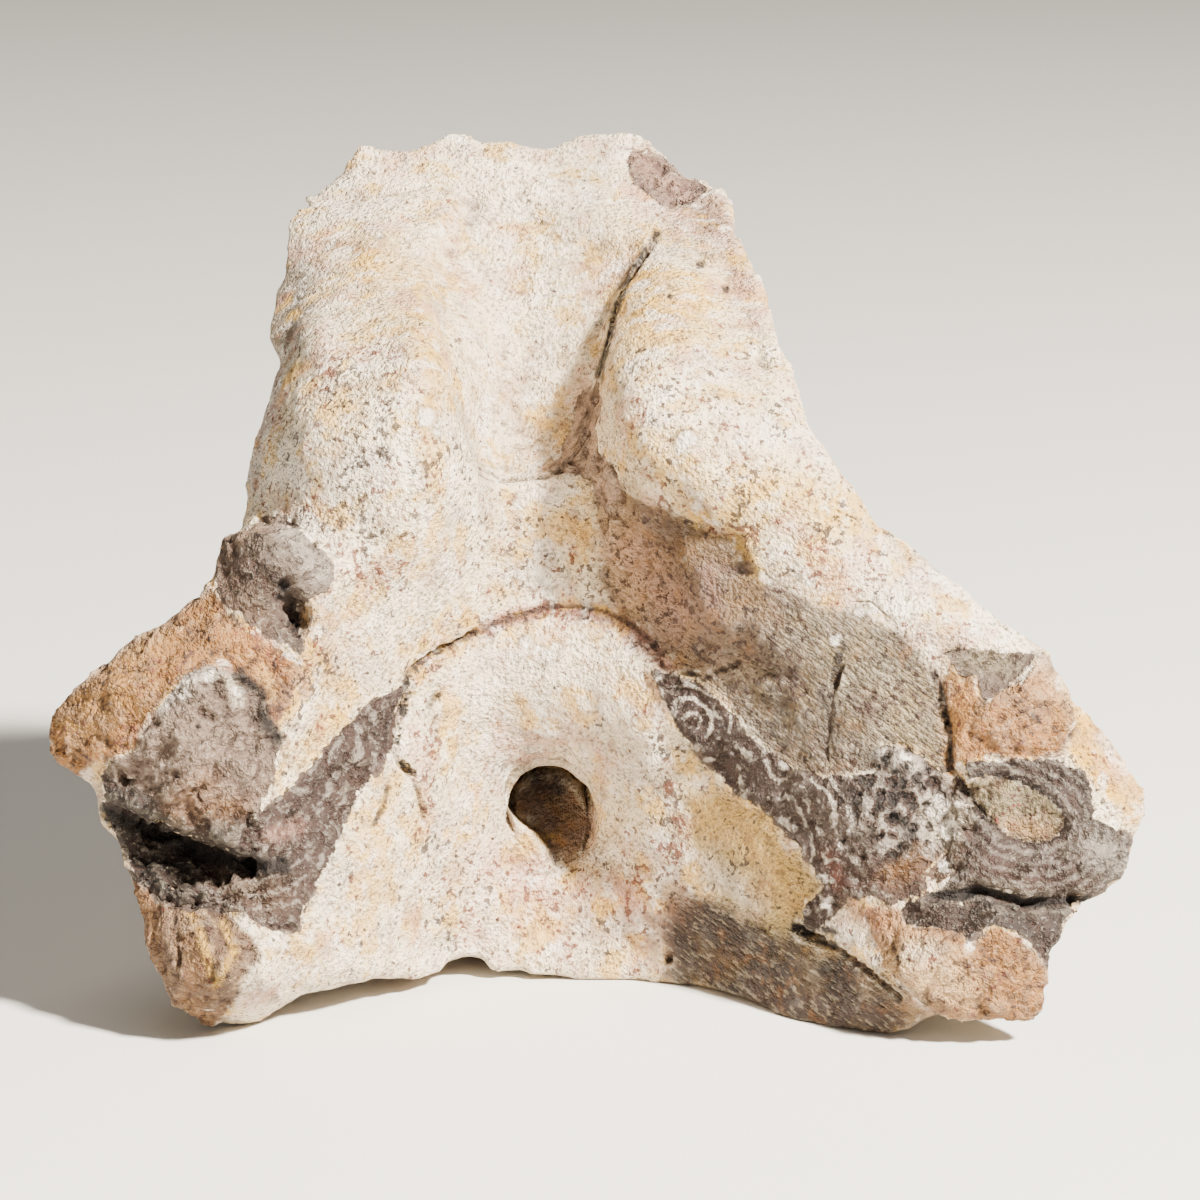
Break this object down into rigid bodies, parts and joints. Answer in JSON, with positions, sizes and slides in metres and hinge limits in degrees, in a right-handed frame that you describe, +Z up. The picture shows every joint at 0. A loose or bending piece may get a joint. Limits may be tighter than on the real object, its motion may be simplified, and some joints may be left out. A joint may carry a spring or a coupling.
{
  "type": "fossil lystrosaurus lower jaw",
  "caption": "Fossil lower jaw of a lystrosaurus: fused beak with a median trough, a foramen in its rear face, and both rami broken off with rock still clinging.",
  "frame": {"origin": "the middle of the jaw's length and depth on the surface it rests on", "axes": "+X along the longest extent, from the broken left ramus to the right one as seen from behind; +Y forwards to the beak's outer side; +Z up through the beak"},
  "size_m": [0.1106, 0.069, 0.0838],
  "materials": {
    "fossil_bone": "matte mineralised bone with rough grey-brown and purple-brown rock in patches"
  },
  "bodies": {
    "root": {"lower_jaw": "fossil_bone"}
  },
  "joints": []
}
